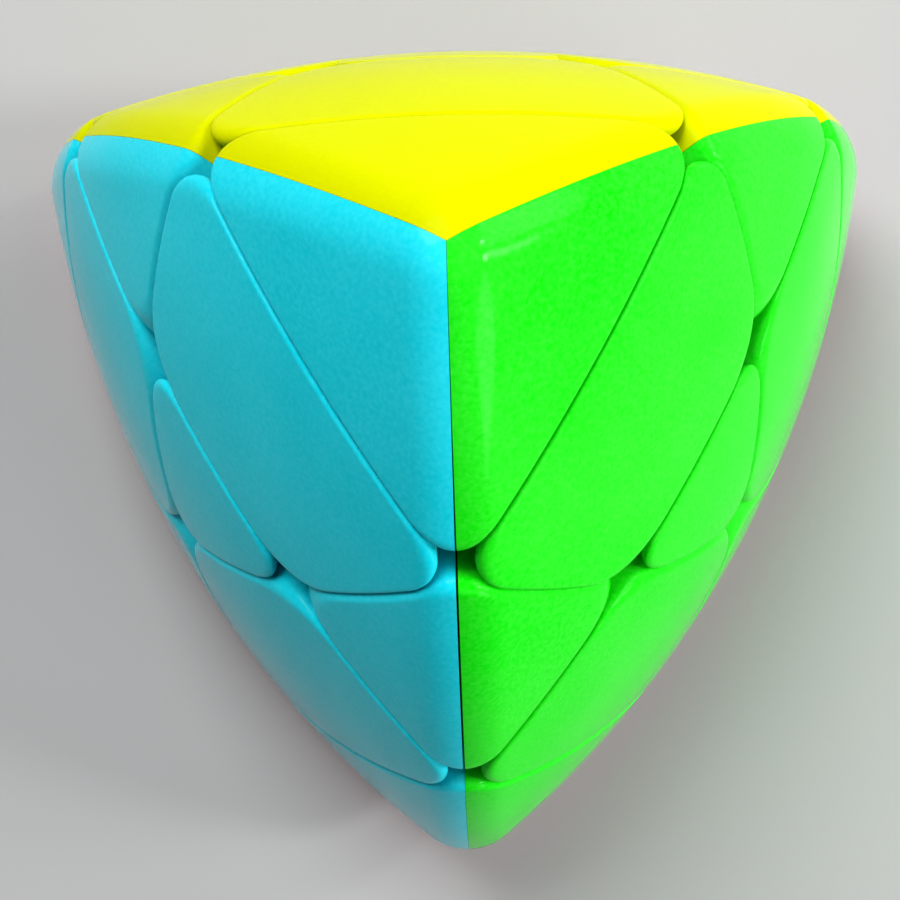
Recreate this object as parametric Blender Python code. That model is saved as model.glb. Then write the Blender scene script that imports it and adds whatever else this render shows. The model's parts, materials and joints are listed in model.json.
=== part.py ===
"""Pillowed four-sided twisty puzzle on a 3x3x3 mechanism.

Every piece is worked out once in cube axes, which are the six screw axes of
the mechanism, and copied by the rotations that carry a tetrahedron onto
itself. The result stands on one face with a tip straight up.
"""
import math

import bmesh
import bpy
import numpy as np
from mathutils import Matrix, Vector

# ------------------------------------------- dimensions, all in millimetres
MM = 0.001       # the pieces are worked out in millimetres, placed in metres
A = 9.5          # slice planes lie this far from the centre
B = 5.2          # sides of the feet, under the slices
GAP = 0.15       # half the clearance between two pieces
R_FOOT = 19.5    # outer radius of the feet
R_IN = 11.0      # inner radius of the feet
H = 26.72        # centre to the middle of a face
R_FACE = 102.5   # radius of a face's dome
RIDGE = 4.1      # fillet along the ridges
SEAM = 0.07      # half the gap between two colours of one piece
PLAN = 3.0       # rounding of a piece's corners, seen from outside
REST = 0.09      # depth of the small flat the puzzle rests on
POST = B - GAP   # half width of a centre stem
CAP_TOP = 22.0   # flat top of a centre stem, inside the caps
SLIDE = 0.05     # clearance all round a stem in its caps' socket
FAR = 70.0       # beyond the whole puzzle

# Along a screw axis, from the centre outwards.
CORE_BALL = 6.4
ARM_FROM, ARM_END, ARM_RADIUS = 3.0, 10.3, 3.6     # the core's arms
ARM_HOLE_FROM, ARM_HOLE_RADIUS = 4.0, 1.2
STEM_FLOOR = 13.5       # a stem's wide bore ends here, and the spring starts
STEM_BORE, STEM_HOLE = 3.1, 1.35                   # its two radii
SHANK_END, SHANK_RADIUS = 4.3, 1.1
HEAD_FROM, HEAD_TO, HEAD_RADIUS = 17.6, 19.0, 2.7
SLOT_FLOOR, SLOT_HALF, SLOT_REACH = 18.3, 0.3, 1.5  # the cross in the head
COIL_WIRE, COIL_RADIUS, COIL_TURNS, COIL_PLAY = 0.3, 1.95, 4, 0.06

TIPS = np.array([[1, 1, 1], [1, -1, -1], [-1, -1, 1], [-1, 1, -1]], float)
NORMALS = -TIPS / math.sqrt(3)
NAMES = {0: "top", 1: "front", 2: "left", 3: "right"}
# The face opposite each tip.
COLOURS = {3: "blue", 2: "green", 1: "yellow", 0: "pink"}
TO_ROW = np.array([
    [0.0, 1 / math.sqrt(2), -1 / math.sqrt(2)],
    [-2 / math.sqrt(6), 1 / math.sqrt(6), 1 / math.sqrt(6)],
    [1 / math.sqrt(3)] * 3,
])

# ------------------------------------------------------------ mesh utilities
scene = bpy.context.scene


def new_object(name, mesh):
    obj = bpy.data.objects.new(name, mesh)
    scene.collection.objects.link(obj)
    return obj


def from_bmesh(bm):
    bmesh.ops.recalc_face_normals(bm, faces=bm.faces)
    mesh = bpy.data.meshes.new("m")
    bm.to_mesh(mesh)
    bm.free()
    return mesh


def box(low, high, bevel=0.0):
    """A box with its upright and lying edges rounded by `bevel`."""
    bm = bmesh.new()
    bmesh.ops.create_cube(bm, size=1)
    low, high = np.array(low, float), np.array(high, float)
    for v in bm.verts:
        v.co = Vector((low + high) / 2 + np.array(v.co) * (high - low))
    if bevel:
        bmesh.ops.bevel(bm, geom=list(bm.edges), offset=bevel, segments=3,
                        affect="EDGES", profile=0.5)
    return from_bmesh(bm)


def ball(radius):
    bm = bmesh.new()
    bmesh.ops.create_uvsphere(bm, u_segments=36, v_segments=18, radius=radius)
    turn = Matrix.Rotation(0.31, 4, Vector((3, 2, 1)).normalized())
    bmesh.ops.transform(bm, matrix=turn, verts=bm.verts)
    return from_bmesh(bm)


def rod(radius, x0, x1, sides=24, twist=0.0):
    """A cylinder along the first axis."""
    bm = bmesh.new()
    bmesh.ops.create_cone(bm, cap_ends=True, segments=sides, radius1=radius,
                          radius2=radius, depth=x1 - x0)
    turn = (Matrix.Translation(((x0 + x1) / 2, 0, 0))
            @ Matrix.Rotation(math.pi / 2, 4, "Y")
            @ Matrix.Rotation(twist, 4, "Z"))
    bmesh.ops.transform(bm, matrix=turn, verts=bm.verts)
    return from_bmesh(bm)


def half_space(normal, distance):
    """A large block on the side of a plane that `normal` points to."""
    bm = bmesh.new()
    bmesh.ops.create_cube(bm, size=200)
    n = Vector(normal).normalized()
    turn = n.to_track_quat("Z", "Y").to_matrix().to_4x4()
    bmesh.ops.transform(
        bm, matrix=Matrix.Translation(n * (100 + distance)) @ turn,
        verts=bm.verts)
    return from_bmesh(bm)


def combine(first, second, operation):
    """A Boolean of two closed meshes, as a new mesh."""
    a, b = new_object("a", first), new_object("b", second)
    mod = a.modifiers.new("cut", "BOOLEAN")
    mod.operation, mod.object, mod.solver = operation, b, "EXACT"
    graph = bpy.context.evaluated_depsgraph_get()
    mesh = bpy.data.meshes.new_from_object(a.evaluated_get(graph))
    bpy.data.objects.remove(a)
    bpy.data.objects.remove(b)
    return mesh


def keep(first, second):
    return combine(first, second, "INTERSECT")


def cut(first, second):
    return combine(first, second, "DIFFERENCE")


def join(first, second):
    return combine(first, second, "UNION")


def place(name, mesh, rotation):
    """A copy of a prototype, turned and carried into the standing frame."""
    copy = mesh.copy()
    copy.transform(Matrix((TO_ROW @ rotation * MM).tolist()).to_4x4())
    copy.name = name
    return new_object(name, copy)


# ------------------------------------------------------------- outer surface
def outside(points):
    """Signed distance to the domed and filleted outer surface."""
    d = np.stack([np.linalg.norm(points - (H - R_FACE) * n, axis=-1) - R_FACE
                  for n in NORMALS], -1)
    corner = np.linalg.norm(np.maximum(d + RIDGE, 0), axis=-1) - RIDGE
    return corner + np.minimum(d.max(-1) + RIDGE, 0)


def to_surface(directions):
    directions = directions / np.linalg.norm(directions, axis=-1,
                                             keepdims=True)
    low = np.zeros(len(directions))
    high = np.full(len(directions), 90.0)
    for _ in range(50):
        mid = (low + high) / 2
        out = outside(mid[:, None] * directions) > 0
        high, low = np.where(out, mid, high), np.where(out, low, mid)
    return high[:, None] * directions


def shell():
    """The whole outer skin: four faces of three kite-shaped grids each."""
    steps = [0, 0.2, 0.4, 0.6, 0.76, 0.87, 0.94, 1.0]
    points, index, faces = [], {}, []

    def vertex(p):
        key = tuple(np.round(p, 6))
        if key not in index:
            index[key] = len(points)
            points.append(p)
        return index[key]

    for hidden in range(4):
        tips = [TIPS[k] for k in range(4) if k != hidden]
        middle = sum(tips) / 3
        for k in range(3):
            v, p, q = tips[k], tips[(k + 1) % 3], tips[(k + 2) % 3]
            m1, m2 = (v + p) / 2, (v + q) / 2
            grid = [[vertex((1 - s) * (1 - t) * middle + s * (1 - t) * m1
                            + s * t * v + (1 - s) * t * m2)
                     for t in steps] for s in steps]
            for i in range(len(steps) - 1):
                for j in range(len(steps) - 1):
                    faces.append((grid[i][j], grid[i + 1][j],
                                  grid[i + 1][j + 1], grid[i][j + 1]))
    mesh = bpy.data.meshes.new("shell")
    mesh.from_pydata(to_surface(np.array(points)).tolist(), [], faces)
    bm = bmesh.new()
    bm.from_mesh(mesh)
    bmesh.ops.triangulate(bm, faces=bm.faces)
    return from_bmesh(bm)


# ---------------------------------------------------------------- prototypes
UP = A + GAP       # a neck's wall on the side of its slice plane
IN = A - GAP       # and on the side of the middle layer
FOOT_UP = B + GAP
FOOT_IN = B - GAP
NECK_IN = 0.2      # a neck is this much slimmer than its cap and foot
NECK_ROUND = 0.9
NECK_SPAN = 1.2    # how far a neck runs into its cap, and into its foot


def span(side, up, inner):
    """A cell's range along one cube axis: a layer, or the middle."""
    return {1: (up, FAR), -1: (-FAR, -up), 0: (-inner, inner)}[side]


def cell(cube, up, inner, bevel=0.0):
    ranges = [span(side, up, inner) for side in cube]
    return box([r[0] for r in ranges], [r[1] for r in ranges], bevel)


def footed(cube):
    """A cap outside the feet's ball, a foot inside it, and a neck."""
    cap = cut(keep(shell(), cell(cube, UP, IN, PLAN)), ball(R_FOOT + GAP))
    foot = keep(cell(cube, FOOT_UP, FOOT_IN), ball(R_FOOT - GAP))
    foot = cut(foot, ball(R_IN + GAP))
    neck = cell(cube, UP + NECK_IN, FOOT_IN - NECK_IN, NECK_ROUND)
    neck = keep(neck, ball(R_FOOT + NECK_SPAN))
    neck = cut(neck, ball(R_FOOT - NECK_SPAN))
    return join(join(foot, neck), cap)


def prototypes():
    corner = footed((1, 1, 1))
    third = keep(corner, half_space((1, -1, 0), SEAM))
    third = keep(third, half_space((0, -1, 1), SEAM))
    edge = footed((1, 0, 1))
    triangle = footed((1, -1, 1))

    cap = cut(keep(shell(), cell((1, 0, 0), 0, IN, PLAN)),
              ball(R_FOOT + GAP))
    half = POST + SLIDE
    socket = box((0, -half, -half), (CAP_TOP + SLIDE, half, half))
    half_cap = keep(cut(cap, socket), half_space((0, -1, 1), SEAM))

    stem = cut(box((0, -POST, -POST), (CAP_TOP, POST, POST)),
               ball(R_IN + GAP))
    stem = cut(stem, rod(STEM_BORE, STEM_FLOOR, 30))
    stem = cut(stem, rod(STEM_HOLE, 5, 20))

    head = rod(HEAD_RADIUS, HEAD_FROM, HEAD_TO)
    screw = join(head, rod(SHANK_RADIUS, SHANK_END, 18.0, 18))
    for y, z in ((SLOT_HALF, SLOT_REACH), (SLOT_REACH, SLOT_HALF)):
        screw = cut(screw, box((SLOT_FLOOR, -y, -z), (20, y, z)))
    return third, edge, triangle, half_cap, stem, screw, spring()


def spring():
    """A coil between the stem's floor and the screw head."""
    per_turn, ring, wire, radius = 12, 5, COIL_WIRE, COIL_RADIUS
    x0 = STEM_FLOOR + wire + COIL_PLAY
    x1 = HEAD_FROM - wire - COIL_PLAY
    bm = bmesh.new()
    rings = []
    count = COIL_TURNS * per_turn
    for i in range(count + 1):
        angle = 2 * math.pi * i / per_turn
        centre = Vector((x0 + (x1 - x0) * i / count,
                         radius * math.cos(angle), radius * math.sin(angle)))
        outward = Vector((0, math.cos(angle), math.sin(angle)))
        along = Vector((1, 0, 0))
        rings.append([bm.verts.new(
            centre + wire * (outward * math.cos(2 * math.pi * k / ring)
                             + along * math.sin(2 * math.pi * k / ring)))
            for k in range(ring)])
    for a, b in zip(rings, rings[1:]):
        for k in range(ring):
            bm.faces.new((a[k], a[(k + 1) % ring], b[(k + 1) % ring], b[k]))
    bm.faces.new(rings[0][::-1])
    bm.faces.new(rings[-1])
    return from_bmesh(bm)


def core():
    body = ball(CORE_BALL)
    for axis in range(3):
        for sign in (1, -1):
            turn = Matrix.Rotation(
                *{0: (0 if sign > 0 else math.pi, 4, "Y"),
                  1: (sign * math.pi / 2, 4, "Z"),
                  2: (-sign * math.pi / 2, 4, "Y")}[axis])
            arm = rod(ARM_RADIUS, ARM_FROM, ARM_END)
            hole = rod(ARM_HOLE_RADIUS, ARM_HOLE_FROM, 12, 18)
            arm.transform(turn)
            hole.transform(turn)
            body = cut(join(body, arm), hole)
    return body


# ------------------------------------------------------------------ assembly
def rotations():
    """The twelve turns that carry the tips onto one another."""
    found = []
    for order in ((0, 1, 2), (1, 2, 0), (2, 0, 1)):
        for signs in ((1, 1, 1), (1, -1, -1), (-1, 1, -1), (-1, -1, 1)):
            m = np.zeros((3, 3))
            for row, (column, sign) in enumerate(zip(order, signs)):
                m[row, column] = sign
            found.append(m)
    return found


def face_of(direction):
    return int(np.argmax(NORMALS @ direction))


def tip_of(direction):
    return int(np.argmax(TIPS @ direction))


RIDGES = {(0, 1): "front_ridge", (0, 3): "right_ridge", (0, 2): "left_ridge",
          (2, 3): "back_base_ridge", (1, 2): "front_left_base_ridge",
          (1, 3): "front_right_base_ridge"}


def ridge_of(direction):
    """The ridge whose middle a screw axis passes through."""
    best = sorted(np.argsort(TIPS @ direction)[2:].tolist())
    return RIDGES[tuple(best)]


def main():
    for obj in list(bpy.data.objects):
        bpy.data.objects.remove(obj)
    third, edge, triangle, half_cap, stem, screw, coil = prototypes()
    done = set()

    def once(name, mesh, rotation):
        if name not in done:
            done.add(name)
            place(name, mesh, rotation)

    blue = NORMALS[3]
    for turn in rotations():
        face = COLOURS[face_of(turn @ blue)]
        tip = NAMES[tip_of(turn @ TIPS[0])]
        once(f"tip_{tip}_{face}", third, turn)
        # An edge piece lies on one face, next to one tip.
        beside = NAMES[tip_of(turn @ np.array([1.0, 0, 1.0]))]
        once(f"edge_{face}_{beside}", edge, turn)
        once(f"triangle_{face}", triangle, turn)
        ridge = ridge_of(turn @ np.array([1.0, 0, 0]))
        once(f"{ridge}_{face}", half_cap, turn)
        once(f"{ridge}_stem", stem, turn)
        once(f"{ridge}_screw", screw, turn)
        once(f"{ridge}_spring", coil, turn)
    place("core", core(), np.eye(3))
    floor_cut()


def floor_cut():
    """The small flat at the bottom that the puzzle rests on."""
    obj = bpy.data.objects["triangle_pink"]
    mesh = obj.data.copy()
    mesh.transform(Matrix.Scale(1 / MM, 4))
    mesh = cut(mesh, box((-40, -40, -H - 5), (40, 40, -H + REST)))
    mesh.transform(Matrix.Scale(MM, 4))
    obj.data = mesh


main()
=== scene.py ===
"""The pillowed four-sided twisty puzzle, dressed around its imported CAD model.

Each kind of outer moulding is worked out once, in cube axes (the six screw
axes) and millimetres, and copied by the rotations that carry a tetrahedron
onto itself. The inner nodes keep their CAD shape and get a material.
"""
import json
import math

import bmesh
import bpy
import numpy as np
from mathutils import Matrix, Vector

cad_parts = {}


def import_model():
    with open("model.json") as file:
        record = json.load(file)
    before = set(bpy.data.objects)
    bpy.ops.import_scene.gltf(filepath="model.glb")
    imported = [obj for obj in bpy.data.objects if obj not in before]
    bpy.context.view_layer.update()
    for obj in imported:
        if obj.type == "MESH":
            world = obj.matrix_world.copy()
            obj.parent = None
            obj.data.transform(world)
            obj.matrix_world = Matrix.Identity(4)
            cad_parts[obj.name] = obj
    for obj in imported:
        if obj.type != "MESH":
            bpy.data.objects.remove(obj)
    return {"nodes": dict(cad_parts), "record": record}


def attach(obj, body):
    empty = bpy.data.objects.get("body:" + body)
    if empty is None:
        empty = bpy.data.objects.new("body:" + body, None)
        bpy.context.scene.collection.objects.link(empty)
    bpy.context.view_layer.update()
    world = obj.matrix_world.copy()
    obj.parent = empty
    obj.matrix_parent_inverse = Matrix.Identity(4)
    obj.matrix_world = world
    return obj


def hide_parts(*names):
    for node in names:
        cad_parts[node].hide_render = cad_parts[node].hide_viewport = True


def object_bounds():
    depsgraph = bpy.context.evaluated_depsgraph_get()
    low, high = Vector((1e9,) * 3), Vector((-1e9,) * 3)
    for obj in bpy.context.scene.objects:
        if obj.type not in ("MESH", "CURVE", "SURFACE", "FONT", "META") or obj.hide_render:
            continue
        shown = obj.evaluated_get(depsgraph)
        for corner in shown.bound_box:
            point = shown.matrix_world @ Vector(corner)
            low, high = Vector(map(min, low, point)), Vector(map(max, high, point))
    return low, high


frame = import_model()
cad_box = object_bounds()
nodes = frame["nodes"]
record = frame["record"]

# ------------------------------------ dimensions of the CAD model, in mm
MM = 0.001
A = 9.5            # slice planes lie this far from the centre
B = 5.2            # sides of the feet, under the slices
GAP = 0.15         # half the clearance between two pieces
R_FOOT = 19.5      # outer radius of the feet
R_IN = 11.0        # inner radius of the feet
H = 26.72          # centre to the middle of a face
R_FACE = 102.5     # radius of a face's dome
RIDGE = 4.1        # fillet along the ridges
PLAN = 3.0         # rounding of a piece's corners, seen from outside
REST = 0.09        # depth of the small flat the puzzle rests on
POST = B - GAP     # half width of a centre stem
CAP_TOP = 22.0     # flat top of a centre stem, inside the caps
SLIDE = 0.05       # clearance all round a stem in its caps' socket

# --------------------------------------- dimensions of the detail, in mm
SHOW = 0.07        # half the gap seen between the skins of two pieces
EDGE = 0.42        # fillet between a piece's skin and its side walls
CORNER = 1.1       # the same round a piece's corners
NECK_UP = 0.3      # a neck's sides lie this far inside the slice planes
NECK_IN = 0.15     # and this far inside the other sides of its foot
FOOT_ROUND = 0.5   # rounding of a foot's corners
TIGHT = 0.015      # half the gap between two colours of one piece
LOOSE = 0.085      # the same where the blue and green shells stand apart
OPEN = (28.0, 45.8)    # heights along the top tip where its seam is LOOSE, TIGHT

# ------------------------------------------ where the rings of a skin go
OUTLINE = 2400     # directions in which a piece's outline is first measured
# This many mm of the outline, or degrees of bend in it, get equal shares of
# a ring's points.
STEP_LENGTH, STEP_BEND = 0.8, 6
# The fillet widens towards a corner: it starts where the second nearest wall
# is this many roundings away, and is whole when that is this much nearer.
WIDENS_AT, WIDENS_OVER = 1.5, 1.2
# The dome's last ring lies this many fillets, and this many mm more, inside
# the side walls.
LEAD, LEAD_MORE = 1.2, 0.06
DOME_SHARES = (0.03, 0.06, 0.1, 0.14, 0.19, 0.24, 0.3, 0.36, 0.43, 0.5, 0.57,
               0.64, 0.71, 0.78, 0.84, 0.9, 0.95, 0.98)
FILLET_TURNS = (0, 15, 30, 45, 60, 75, 90)      # degrees
WALL_SHARES = (0.25, 0.5, 0.75, 1.0)
FOOT_RADII = (R_FOOT - 3, R_FOOT - 6, R_IN + GAP)
CLOSING_SHARES = (0.66, 0.33)
FAR, WIDE = 60.0, 2.5      # more than any point's radius, and than its spread
HALVINGS = 34              # of the interval, in each search for a surface

TIPS = np.array([[1, 1, 1], [1, -1, -1], [-1, -1, 1], [-1, 1, -1]], float)
NORMALS = -TIPS / math.sqrt(3)
NAMES = {0: "top", 1: "front", 2: "left", 3: "right"}
# The face opposite each tip.
COLOURS = {3: "blue", 2: "green", 1: "yellow", 0: "pink"}
RIDGES = {(0, 1): "front_ridge", (0, 3): "right_ridge", (0, 2): "left_ridge",
          (2, 3): "back_base_ridge", (1, 2): "front_left_base_ridge",
          (1, 3): "front_right_base_ridge"}
TO_ROW = np.array([
    [0.0, 1 / math.sqrt(2), -1 / math.sqrt(2)],
    [-2 / math.sqrt(6), 1 / math.sqrt(6), 1 / math.sqrt(6)],
    [1 / math.sqrt(3)] * 3,
])


# ------------------------------------------------------------------ shape
def unit(v):
    v = np.asarray(v, float)
    return v / np.linalg.norm(v, axis=-1, keepdims=True)


def rounded_max(values, radius):
    """The largest value, with the corners between them rounded."""
    out = np.linalg.norm(np.maximum(values + radius, 0), axis=-1) - radius
    return out + np.minimum(values.max(-1) + radius, 0)


def outside(points):
    """Signed distance to the domed and filleted outer surface."""
    d = np.stack([np.linalg.norm(points - (H - R_FACE) * n, axis=-1) - R_FACE
                  for n in NORMALS], -1)
    return rounded_max(d, RIDGE)


def halve(low, high, is_past):
    """Where a test turns true between two arrays of values."""
    for _ in range(HALVINGS):
        middle = (low + high) / 2
        past = is_past(middle)
        high = np.where(past, middle, high)
        low = np.where(past, low, middle)
    return (low + high) / 2


class Walls:
    """Signed distance to the side walls of a piece, its corners rounded.
    `cube` has the piece's side of the slices on each axis, or 0 between
    them; `up` and `inner` say where its walls then are."""

    def __init__(self, cube, up, inner, radius):
        self.cube, self.up, self.inner = cube, up, inner
        self.radius = radius

    def sides(self, points):
        parts = []
        for axis, side in enumerate(self.cube):
            if side:
                parts.append(self.up - side * points[..., axis])
            else:
                parts.append(points[..., axis] - self.inner)
                parts.append(-points[..., axis] - self.inner)
        return np.stack(parts, -1)

    def __call__(self, points):
        return rounded_max(self.sides(points), self.radius)

    def corner(self, points):
        """From 0 along a straight side to 1 in the middle of a corner."""
        second = np.sort(self.sides(points), -1)[..., -2]
        t = np.clip((second / self.radius + WIDENS_AT) / WIDENS_OVER, 0, 1)
        return t * t * (3 - 2 * t)


class Fan:
    """Rays that leave a centre line through the origin at even intervals
    round a piece's outline, on which every ring of its skin is placed."""

    def __init__(self, centre, cap, count):
        self.axis = unit(centre)
        across = (0, 0, 1) if abs(self.axis[2]) < 0.8 else (1, 0, 0)
        self.e1 = unit(np.cross(across, self.axis))
        self.e2 = np.cross(self.axis, self.e1)
        self.turn(np.arange(OUTLINE) * 2 * math.pi / OUTLINE)
        rim = self.solve(cap, 0.0, 0.0)[0]
        step = np.roll(rim, -1, 0) - rim
        length = np.linalg.norm(step, axis=1)
        bend = np.arccos(np.clip((unit(step) * unit(np.roll(step, -1, 0)))
                                 .sum(1), -1, 1))
        measure = np.cumsum(length / STEP_LENGTH
                            + np.degrees(np.roll(bend, 1)) / STEP_BEND)
        measure = np.concatenate([[0], measure])
        wanted = np.arange(count) * measure[-1] / count
        angle = np.interp(wanted, measure,
                          np.arange(OUTLINE + 1) * 2 * math.pi / OUTLINE)
        self.turn(angle)

    def turn(self, angle):
        """Send the rays out at these angles round the centre line."""
        self.out = (np.cos(angle)[:, None] * self.e1
                    + np.sin(angle)[:, None] * self.e2)

    def at(self, radius, spread):
        """Points this far from the origin. A spread of 0 is on the centre
        line and 1 is at 45 degrees to it."""
        direction = unit(self.axis + spread[:, None] * self.out)
        return direction * np.asarray(radius).reshape(-1, 1)

    def ring(self, wall, radius, offset=0.0):
        """The spreads at which points `radius` from the origin stand
        `offset` outside a wall, or inside it if that is negative."""
        low = np.zeros(len(self.out))
        return halve(low, np.full_like(low, WIDE),
                     lambda spread: wall(self.at(radius, spread)) > offset)

    def solve(self, wall, wall_offset, skin_offset):
        """Points at set distances from both the side wall and the skin, with
        their radii and spreads."""
        low = np.full(len(self.out), R_FOOT)
        radius = halve(low, np.full_like(low, FAR), lambda r: outside(
            self.at(r, self.ring(wall, r, wall_offset))) > skin_offset)
        spread = self.ring(wall, radius, wall_offset)
        return self.at(radius, spread), radius, spread

    def skin(self, spread):
        """Points of the outer surface at set spreads."""
        low = np.full(len(self.out), R_FOOT)
        radius = halve(low, np.full_like(low, FAR),
                       lambda r: outside(self.at(r, spread)) > 0)
        return self.at(radius, spread)


def dome_rings(fan, cap, fillet):
    """The outside of a piece, from its middle to just short of its fillet."""
    last, _, spread = fan.solve(cap, -LEAD * fillet - LEAD_MORE, 0.0)
    return [fan.skin(share * spread) for share in DOME_SHARES] + [last]


def fillet_rings(fan, cap, fillet):
    """The round from the skin to the side walls, and the radii it ends at."""
    rings = []
    for turn in np.radians(FILLET_TURNS):
        points, radius, _ = fan.solve(cap, -fillet * (1 - math.sin(turn)),
                                      -fillet * (1 - math.cos(turn)))
        rings.append(points)
    return rings, radius


def wall_rings(fan, cap, top, low):
    """The side walls, from radii `top` in to `low`, and the last spread."""
    rings = []
    for share in WALL_SHARES:
        radius = top + (low - top) * share
        spread = fan.ring(cap, radius)
        rings.append(fan.at(radius, spread))
    return rings, spread


def foot_rings(fan, neck, foot, spread, low):
    """The underside of the cap, the neck and the foot, and the last spread."""
    inner = fan.ring(neck, low)
    rings = [fan.at(low, (spread + inner) / 2), fan.at(low, inner)]
    top = low - 2 * GAP
    inner, outer = fan.ring(neck, top), fan.ring(foot, top)
    rings += [fan.at(top, s) for s in (inner, (inner + outer) / 2, outer)]
    for radius in FOOT_RADII:
        spread = fan.ring(foot, radius)
        rings.append(fan.at(radius, spread))
    return rings, spread


def skin_mesh(name, rings, top, bottom):
    """A closed mesh over rings with the same number of points, from the
    point `top` to the point `bottom`."""
    count = len(rings[0])
    points = np.concatenate(rings + [[top, bottom]])
    first, last = len(points) - 2, len(points) - 1
    end = (len(rings) - 1) * count
    faces = []
    for a in range(0, end, count):
        b = a + count
        for i in range(count):
            j = (i + 1) % count
            faces.append((a + i, b + i, b + j, a + j))
    for i in range(count):
        j = (i + 1) % count
        faces.append((first, i, j))
        faces.append((last, end + j, end + i))
    mesh = bpy.data.meshes.new(name)
    mesh.from_pydata(points.tolist(), [], faces)
    mesh.validate()
    return mesh


def moulding(name, centre, count, cap, neck=None, foot=None):
    """A piece's closed skin: dome, edge fillet, side walls, neck and foot.
    Without a neck, the cap's underside is closed."""
    fan = Fan(centre, cap, count)
    rim, _, _ = fan.solve(cap, 0.0, 0.0)
    fillet = EDGE + (CORNER - EDGE) * cap.corner(rim)
    low = R_FOOT + GAP
    rings = dome_rings(fan, cap, fillet)
    more, top = fillet_rings(fan, cap, fillet)
    rings += more
    more, spread = wall_rings(fan, cap, top, low)
    rings += more
    if neck:
        more, spread = foot_rings(fan, neck, foot, spread, low)
        rings += more
        low = FOOT_RADII[-1]
    rings += [fan.at(low, share * spread) for share in CLOSING_SHARES]
    middle = fan.skin(np.zeros(count))[0]
    return skin_mesh(name, rings, middle, fan.axis * low)


def cut(mesh, low, high):
    """A mesh less a box."""
    bm = bmesh.new()
    bmesh.ops.create_cube(bm, size=1)
    low, high = np.array(low, float), np.array(high, float)
    for v in bm.verts:
        v.co = Vector((low + high) / 2 + np.array(v.co) * (high - low))
    block = bpy.data.meshes.new("block")
    bm.to_mesh(block)
    bm.free()
    made = []
    for data in (mesh, block):
        obj = bpy.data.objects.new("tool", data)
        bpy.context.scene.collection.objects.link(obj)
        made.append(obj)
    mod = made[0].modifiers.new("cut", "BOOLEAN")
    mod.operation, mod.object, mod.solver = "DIFFERENCE", made[1], "EXACT"
    graph = bpy.context.evaluated_depsgraph_get()
    result = bpy.data.meshes.new_from_object(made[0].evaluated_get(graph))
    for obj in made:
        bpy.data.objects.remove(obj)
    return result


def split(mesh, normal, distance):
    """The part of a closed mesh beyond a plane, closed again."""
    bm = bmesh.new()
    bm.from_mesh(mesh)
    n = Vector(normal).normalized()
    done = bmesh.ops.bisect_plane(
        bm, geom=list(bm.verts) + list(bm.edges) + list(bm.faces),
        plane_co=n * distance, plane_no=n, clear_inner=True)
    rim = [e for e in done["geom_cut"] if isinstance(e, bmesh.types.BMEdge)]
    bmesh.ops.holes_fill(bm, edges=rim, sides=0)
    bmesh.ops.recalc_face_normals(bm, faces=bm.faces)
    part = bpy.data.meshes.new(mesh.name)
    bm.to_mesh(part)
    bm.free()
    return part


def footed(name, cube, count, neck_round=FOOT_ROUND):
    """A whole piece with a foot under the slices."""
    return moulding(
        name, cube, count,
        cap=Walls(cube, A + SHOW, A - SHOW, PLAN),
        neck=Walls(cube, A + NECK_UP, B - GAP - NECK_IN, neck_round),
        foot=Walls(cube, B + GAP, B - GAP, FOOT_ROUND))


def ridge_cap():
    """Both half caps of a ridge centre in one, with the stem's socket."""
    cap = moulding("cap", (1, 0, 0), 260,
                   cap=Walls((1, 0, 0), 0, A - SHOW, PLAN))
    half = POST + SLIDE
    return cut(cap, (0, -half, -half), (CAP_TOP + SLIDE, half, half))


# -------------------------------------------------------------- materials
MICRON = 0.000001
# Scales of the noises in the plastic, per metre.
MOTTLE, SPECKLE, SHEEN, GRAIN, WAVES = 60, 2400, 140, 6000, 260


def fill(tree, node, inputs):
    """Set a node's inputs, or join them to the outputs of other nodes."""
    for name, value in inputs.items():
        if isinstance(value, bpy.types.NodeSocket):
            tree.links.new(value, node.inputs[name])
        else:
            node.inputs[name].default_value = value
    return node


def add(tree, kind, inputs, **settings):
    """A new node, with its settings made and its inputs filled."""
    node = tree.nodes.new(kind)
    for name, value in settings.items():
        setattr(node, name, value)
    return fill(tree, node, inputs)


def blank(name):
    """A new material, its node tree and its shader."""
    material = bpy.data.materials.new(name)
    material.use_nodes = True
    tree = material.node_tree
    return material, tree, tree.nodes["Principled BSDF"]


def noise(tree, scale, detail, roughness=0.5):
    """A noise that stays with its piece."""
    place = add(tree, "ShaderNodeTexCoord", {})
    return add(tree, "ShaderNodeTexNoise", {
        "Vector": place.outputs["Object"], "Scale": scale,
        "Detail": detail, "Roughness": roughness}).outputs["Fac"]


def remap(tree, value, start, end, low, high, interpolation="LINEAR"):
    """From `low` where the value is `start` to `high` where it is `end`."""
    return add(tree, "ShaderNodeMapRange", {
        "Value": value, "From Min": start, "From Max": end,
        "To Min": low, "To Max": high},
        interpolation_type=interpolation).outputs["Result"]


def bump(tree, height, strength, distance, under=None):
    """Relief of this height, on top of the relief `under` it."""
    node = add(tree, "ShaderNodeBump", {
        "Height": height, "Strength": strength, "Distance": distance})
    if under:
        tree.links.new(under, node.inputs["Normal"])
    return node.outputs["Normal"]


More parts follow.
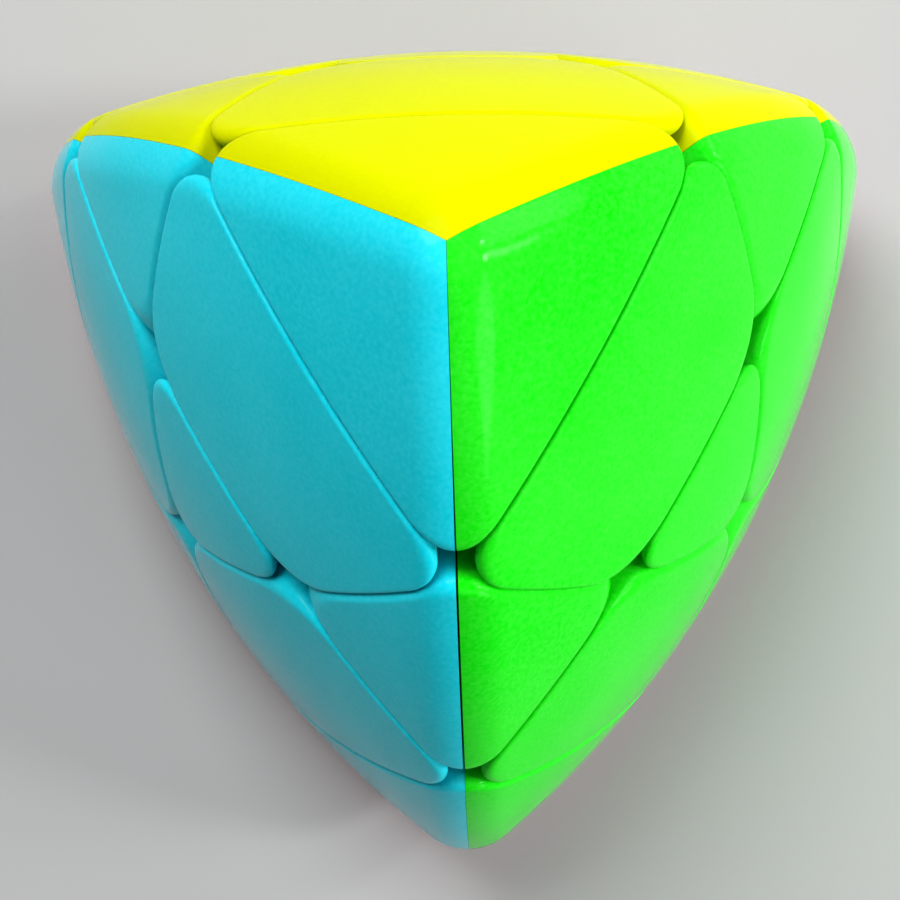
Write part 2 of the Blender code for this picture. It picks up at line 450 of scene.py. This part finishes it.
def plastic(name, colour, deep, roughness=0.12, shine=0.045):
    """Moulded plastic: a faintly uneven tint, satin skin with fine grain,
    the slow waviness of a moulding and a little light inside."""
    material, tree, shader = blank(name)
    uneven = add(tree, "ShaderNodeMath",
                 {0: noise(tree, MOTTLE, 3), 1: noise(tree, SPECKLE, 2)})
    tint = add(tree, "ShaderNodeMix", {
        "Factor": remap(tree, uneven.outputs["Value"], 0.7, 1.3, 0, 1),
        "A": (*colour, 1), "B": (*deep, 1)}, data_type="RGBA")
    gloss = remap(tree, noise(tree, SHEEN, 6, 0.6), 0.3, 0.7,
                  roughness - 0.02, roughness + 0.04)
    grain = bump(tree, noise(tree, GRAIN, 2), 0.6, 6 * MICRON)
    waves = bump(tree, noise(tree, WAVES, 1), 0.5, 30 * MICRON, grain)
    fill(tree, shader, {
        "Base Color": tint.outputs["Result"],
        "Roughness": gloss,
        "Normal": waves,
        "IOR": 1.5,
        "Specular IOR Level": shine,
        "Subsurface Weight": 0.12,
        "Subsurface Radius": (1, 1, 1),
        "Subsurface Scale": 0.0008})
    return material


def metal(name, colour, roughness, marks_scale):
    """Plated or drawn steel with fine marks."""
    material, tree, shader = blank(name)
    marks = noise(tree, marks_scale, 4)
    fill(tree, shader, {
        "Base Color": (*colour, 1),
        "Metallic": 1.0,
        "Roughness": remap(tree, marks, 0, 1, roughness - 0.08, roughness + 0.1),
        "Normal": bump(tree, marks, 0.3, 10 * MICRON)})
    return material


SKINS = {
    "blue": plastic("blue_plastic", (0.022, 0.64, 0.76), (0.002, 0.57, 0.69)),
    "green": plastic("green_plastic", (0.027, 0.66, 0.021), (0.002, 0.62, 0.001)),
    "yellow": plastic("yellow_plastic", (0.54, 0.58, 0.0), (0.51, 0.55, 0.0),
                      shine=0.005),
    "pink": plastic("pink_plastic", (0.76, 0.025, 0.13), (0.72, 0.02, 0.11)),
}
INNER = {
    "stem_plastic": plastic("stem_plastic", (0.72, 0.72, 0.7), (0.68, 0.68, 0.66),
                            roughness=0.45, shine=0.5),
    "core_plastic": plastic("core_plastic", (0.02, 0.02, 0.022),
                            (0.016, 0.016, 0.018), roughness=0.42, shine=0.5),
    "screw_steel": metal("screw_steel", (0.62, 0.62, 0.64), 0.3, 900),
    "spring_steel": metal("spring_steel", (0.5, 0.5, 0.52), 0.34, 1500),
}


# ----------------------------------------------------------------- pieces
SHARP_SKIN, SHARP_INNER = math.radians(38), math.radians(30)
BODY_OF = {node: body
           for body, members in record["behaviour"]["bodies"].items()
           for node in members}


def rotations():
    """The twelve turns that carry the tips onto one another."""
    for order in ((0, 1, 2), (1, 2, 0), (2, 0, 1)):
        for signs in ((1, 1, 1), (1, -1, -1), (-1, 1, -1), (-1, -1, 1)):
            m = np.zeros((3, 3))
            for row, (column, sign) in enumerate(zip(order, signs)):
                m[row, column] = sign
            yield m


def face_of(direction):
    return COLOURS[int(np.argmax(NORMALS @ direction))]


def tip_of(direction):
    return NAMES[int(np.argmax(TIPS @ direction))]


def ridge_of(direction):
    return RIDGES[tuple(sorted(np.argsort(TIPS @ direction)[2:].tolist()))]


def seam_plane(node, local, normal):
    """The plane a colour seam is cut on: its normal and distance. `local`
    is its normal on the prototype, `normal` the same on the puzzle. Blue
    and green stand apart on the front ridge, and less and less up the top
    tip."""
    local = unit(local)
    if abs(unit(normal) @ unit([0, 1, -1])) < 0.99:
        return local, TIGHT
    if node.startswith("front_ridge"):
        return local, LOOSE
    if node.startswith("tip_top"):
        tilt = (LOOSE - TIGHT) / (OPEN[1] - OPEN[0])
        leaning = local + tilt * unit([1, 1, 1])
        size = np.linalg.norm(leaning)
        return leaning / size, (TIGHT + tilt * OPEN[1]) / size
    return local, TIGHT


def add_piece(node, mesh, turn, colour, seams=()):
    """One moulding, cut along its colour seams and turned to its place."""
    data = mesh.copy()
    for normal in seams:
        data = split(data, *seam_plane(node, normal, turn @ np.array(normal)))
    data.transform(Matrix((TO_ROW @ turn * MM).tolist()).to_4x4())
    if node == "triangle_pink":
        flat = (-H + REST) * MM
        for v in data.vertices:
            v.co.z = max(v.co.z, flat)
    data.name = node + "_moulding"
    data.materials.clear()
    data.materials.append(SKINS[colour])
    data.shade_smooth()
    data.set_sharp_from_angle(angle=SHARP_SKIN)
    obj = bpy.data.objects.new(node + "_moulding", data)
    bpy.context.scene.collection.objects.link(obj)
    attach(obj, BODY_OF[node])
    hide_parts(node)


def add_outer_pieces():
    """Every moulding, by turning the first of its kind."""
    whole_tip = footed("tip", (1, 1, 1), 300, neck_round=0.3)
    edge = footed("edge", (1, 0, 1), 220)
    triangle = footed("triangle", (1, -1, 1), 180)
    cap = ridge_cap()
    tip_seams, cap_seams = ((1, -1, 0), (0, -1, 1)), ((0, -1, 1),)
    done = set()
    for turn in rotations():
        colour = face_of(turn @ NORMALS[3])
        tip = tip_of(turn @ TIPS[0])
        beside = tip_of(turn @ np.array([1.0, 0, 1.0]))
        ridge = ridge_of(turn @ np.array([1.0, 0, 0]))
        for node, mesh, seams in (
                (f"tip_{tip}_{colour}", whole_tip, tip_seams),
                (f"edge_{colour}_{beside}", edge, ()),
                (f"triangle_{colour}", triangle, ()),
                (f"{ridge}_{colour}", cap, cap_seams)):
            if node not in done:
                done.add(node)
                add_piece(node, mesh, turn, colour, seams)


def dress_inner_nodes():
    """The core, stems, screws and springs keep their CAD shape."""
    for part in record["subparts"]:
        if part["material_slot"] in INNER:
            obj = nodes[part["node"]]
            for slot in obj.material_slots:
                slot.material = INNER[part["material_slot"]]
            obj.data.shade_smooth()
            obj.data.set_sharp_from_angle(angle=SHARP_INNER)


add_outer_pieces()
dress_inner_nodes()

# ---------------------------------------------------- stage, all in metres
PALE = 0.4                      # brightness of the far paper's painted glow and of the walls
DIM = 0.02                      # brightness of the room above them
FLOOR_HALF = 8.0
FLOOR_FADE = (0.3, 1.5)         # painted light: the far paper's glow starts, and is whole
WALL_FADE = (0.03, 0.2)         # the same for the walls: rise over distance
WHITE = (1, 1, 1, 1)


def floor():
    """Pale paper, lit by the lamps near the puzzle; further off it glows more and more,
    painted light that keeps it pale where the lamps grow weak.
    """
    mesh = bpy.data.meshes.new("floor")
    s, z = FLOOR_HALF, cad_box[0][2]
    mesh.from_pydata([(-s, -s, z), (s, -s, z), (s, s, z), (-s, s, z)], [],
                     [(0, 1, 2, 3)])
    obj = bpy.data.objects.new("floor", mesh)
    bpy.context.scene.collection.objects.link(obj)
    material, tree, shader = blank("floor_paper")
    place = add(tree, "ShaderNodeTexCoord", {})
    far = add(tree, "ShaderNodeVectorMath", {0: place.outputs["Object"]},
              operation="LENGTH")
    fill(tree, shader, {
        "Base Color": (0.35, 0.35, 0.35, 1),
        "Roughness": 0.8,
        "Emission Color": WHITE,
        # painted light: the paper glows more with its distance from the puzzle
        "Emission Strength": remap(tree, far.outputs["Value"], *FLOOR_FADE,
                                   0, PALE, "SMOOTHSTEP")})
    mesh.materials.append(material)


def world():
    """A dim room whose walls are pale low down, where side views see them."""
    studio = bpy.data.worlds.new("studio")
    bpy.context.scene.world = studio
    studio.use_nodes = True
    tree = studio.node_tree
    place = add(tree, "ShaderNodeTexCoord", {})
    height = add(tree, "ShaderNodeSeparateXYZ",
                 {"Vector": place.outputs["Generated"]})
    fill(tree, tree.nodes["Background"], {
        "Color": WHITE,
        "Strength": remap(tree, height.outputs["Z"], *WALL_FADE,
                          PALE, DIM, "SMOOTHSTEP")})


def lamp(name, place, width, height, watts):
    """A white soft box facing the puzzle."""
    data = bpy.data.lights.new(name, "AREA")
    data.shape, data.size, data.size_y = "RECTANGLE", width, height
    data.energy = watts
    obj = bpy.data.objects.new(name, data)
    bpy.context.scene.collection.objects.link(obj)
    obj.location = place
    obj.rotation_euler = Vector(place).to_track_quat("Z", "Y").to_euler()


def camera(eye, aim, roll, focal):
    """Looks from `eye` at `aim`, and is turned by `roll` about that line."""
    data = bpy.data.cameras.new("camera")
    data.sensor_width = 36.0
    data.lens = focal
    data.clip_start, data.clip_end = 0.01, 20
    obj = bpy.data.objects.new("camera", data)
    bpy.context.scene.collection.objects.link(obj)
    eye, aim = Vector(eye), Vector(aim)
    level = (aim - eye).to_track_quat("-Z", "Y").to_matrix().to_4x4()
    obj.matrix_world = (Matrix.Translation(eye) @ level
                        @ Matrix.Rotation(math.radians(roll), 4, "Z"))
    bpy.context.scene.camera = obj


floor()
world()
lamp("key", (-0.18, 0.33, 0.60), 0.4, 0.4, 6.6)
lamp("right", (0.80, 0.38, 0.46), 0.5, 0.5, 5)
lamp("front", (0.75, -0.60, 0.30), 0.4, 0.4, 4.4)
lamp("side", (0.91, -0.03, 0.40), 0.13, 0.36, 2.8)
lamp("glint", (0.80, -0.10, 0.59), 0.12, 0.10, 3.4)
lamp("second_glint", (0.73, 0.22, 0.65), 0.07, 0.07, 1.2)
# Almost straight down, past the top tip.
camera((0.001980, -0.031508, 0.180570), (-0.000741, -0.008125, 0.0),
       roll=-7.954, focal=82.766)
bpy.context.scene.view_settings.view_transform = "Standard"
